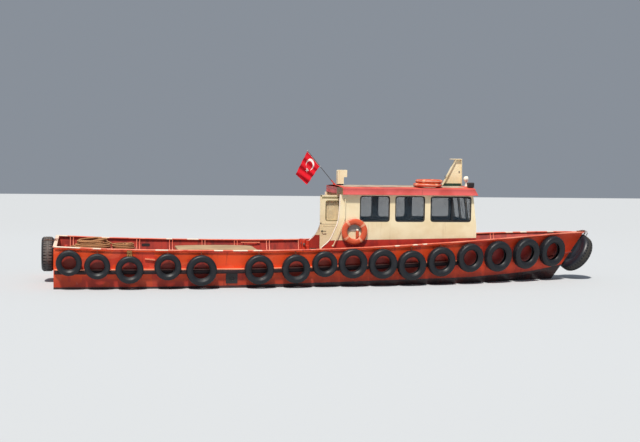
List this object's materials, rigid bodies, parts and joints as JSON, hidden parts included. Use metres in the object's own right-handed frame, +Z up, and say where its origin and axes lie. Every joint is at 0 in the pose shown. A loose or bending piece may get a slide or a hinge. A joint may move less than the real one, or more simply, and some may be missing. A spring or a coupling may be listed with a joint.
{
  "type": "mooring boat",
  "caption": "Harbour mooring boat: hard-chine steel hull with tyre fenders, small wheelhouse with opening door, hatches, bitts, rope, rudder and propeller.",
  "frame": {"origin": "amidships on the centreline, at the height of the waterline", "axes": "+X forward to the bow, +Y to port, +Z up"},
  "size_m": [16.2245, 4.6652, 4.8118],
  "materials": {
    "hull_red": "weathered satin",
    "deck_red": "worn matt",
    "rail_cream": "worn satin",
    "strake_rubber": "matt",
    "tyre_black": "matt",
    "keel_red": "matt",
    "bronze": "satin",
    "steel": "satin",
    "engine_grey": "matt",
    "canvas": "matt",
    "cabin_cream": "satin",
    "roof_red": "satin",
    "glass": "gloss",
    "black_paint": "satin",
    "console_grey": "satin",
    "vinyl": "satin",
    "lifebuoy_orange": "matt",
    "white_paint": "gloss",
    "rope": "matt",
    "flag_cloth": "matt"
  },
  "bodies": {
    "hull": {"hull": "hull_red", "deck": "deck_red", "bulwark_port_aft": "hull_red", "bulwark_port_middle": "hull_red", "bulwark_port_fore": "hull_red", "bulwark_starboard_aft": "hull_red", "bulwark_starboard_middle": "hull_red", "bulwark_starboard_fore": "hull_red", "cap_rail": "rail_cream", "rubbing_strake_port": "strake_rubber", "rubbing_strake_starboard": "strake_rubber", "side_outlet": "black_paint", "keel_skeg": "keel_red", "engine_block": "engine_grey", "engine_hatch_coaming": "deck_red", "fore_hatch_coaming": "deck_red", "cabin_side_port": "cabin_cream", "cabin_side_starboard": "cabin_cream", "cabin_front": "cabin_cream", "cabin_bulkhead": "cabin_cream", "cabin_roof": "roof_red", "glass_port": "glass", "glass_starboard": "glass", "glass_front": "glass", "console": "console_grey", "helm_seat_post": "steel", "helm_seat": "vinyl", "lifebuoy_side": "lifebuoy_orange", "lifebuoy_roof_lower": "lifebuoy_orange", "lifebuoy_roof_upper": "lifebuoy_orange", "mast": "cabin_cream", "searchlight": "white_paint", "horn_box": "black_paint", "ventilator": "cabin_cream", "flagstaff": "white_paint", "flag": "flag_cloth", "handrail_port": "cabin_cream", "handrail_starboard": "cabin_cream", "tow_bitt": "hull_red", "fore_bitt": "hull_red", "stern_bitt": "hull_red", "tow_hook": "black_paint", "fender_tyres_port_aft": "tyre_black", "fender_tyres_starboard_aft": "tyre_black", "fender_tyres_port_forward": "tyre_black", "fender_tyres_starboard_forward": "tyre_black", "fender_tyre_stern": "tyre_black", "fender_tyre_bow": "tyre_black", "steering_trunk": "deck_red", "rope_coil_large": "rope", "rope_coil_small": "rope", "rope_lead": "rope"},
    "propeller": {"propeller": "bronze", "propeller_shaft": "steel"},
    "rudder": {"rudder": "keel_red"},
    "wheel": {"steering_wheel": "black_paint"},
    "door": {"door_leaf": "cabin_cream", "door_glass": "glass"},
    "engine_hatch_lid": {"engine_hatch_lid": "canvas"},
    "fore_hatch_lid": {"fore_hatch_lid": "cabin_cream"}
  },
  "joints": [
    {"name": "propeller_turn", "type": "hinge", "parent": "hull", "child": "propeller", "pos_m": [-6.695, 0, -0.68], "axis": [1, 0, 0], "continuous": true},
    {"name": "steering_wheel_turn", "type": "hinge", "parent": "hull", "child": "wheel", "pos_m": [3.2, -0.35, 1.4], "axis": [1, 0, 0], "range_deg": [-540, 540]},
    {"name": "rudder_turn", "type": "hinge", "parent": "hull", "child": "rudder", "pos_m": [-7.15, 0, -0.7], "axis": [0, 0, 1], "range_deg": [-35, 35]},
    {"name": "door_swing", "type": "hinge", "parent": "hull", "child": "door", "pos_m": [0.245, -0.415, 1.6], "axis": [0, 0, 1], "range_deg": [-90, 20]},
    {"name": "engine_hatch_lift", "type": "hinge", "parent": "hull", "child": "engine_hatch_lid", "pos_m": [-2.262, 0, 0.902], "axis": [0, 1, 0], "range_deg": [0, 80]},
    {"name": "fore_hatch_lift", "type": "hinge", "parent": "hull", "child": "fore_hatch_lid", "pos_m": [4.38, 0, 0.834], "axis": [0, -1, 0], "range_deg": [0, 100]}
  ],
  "couplings": [
    {"joint": "rudder_turn", "follows": "steering_wheel_turn", "ratio": 0.0648}
  ]
}
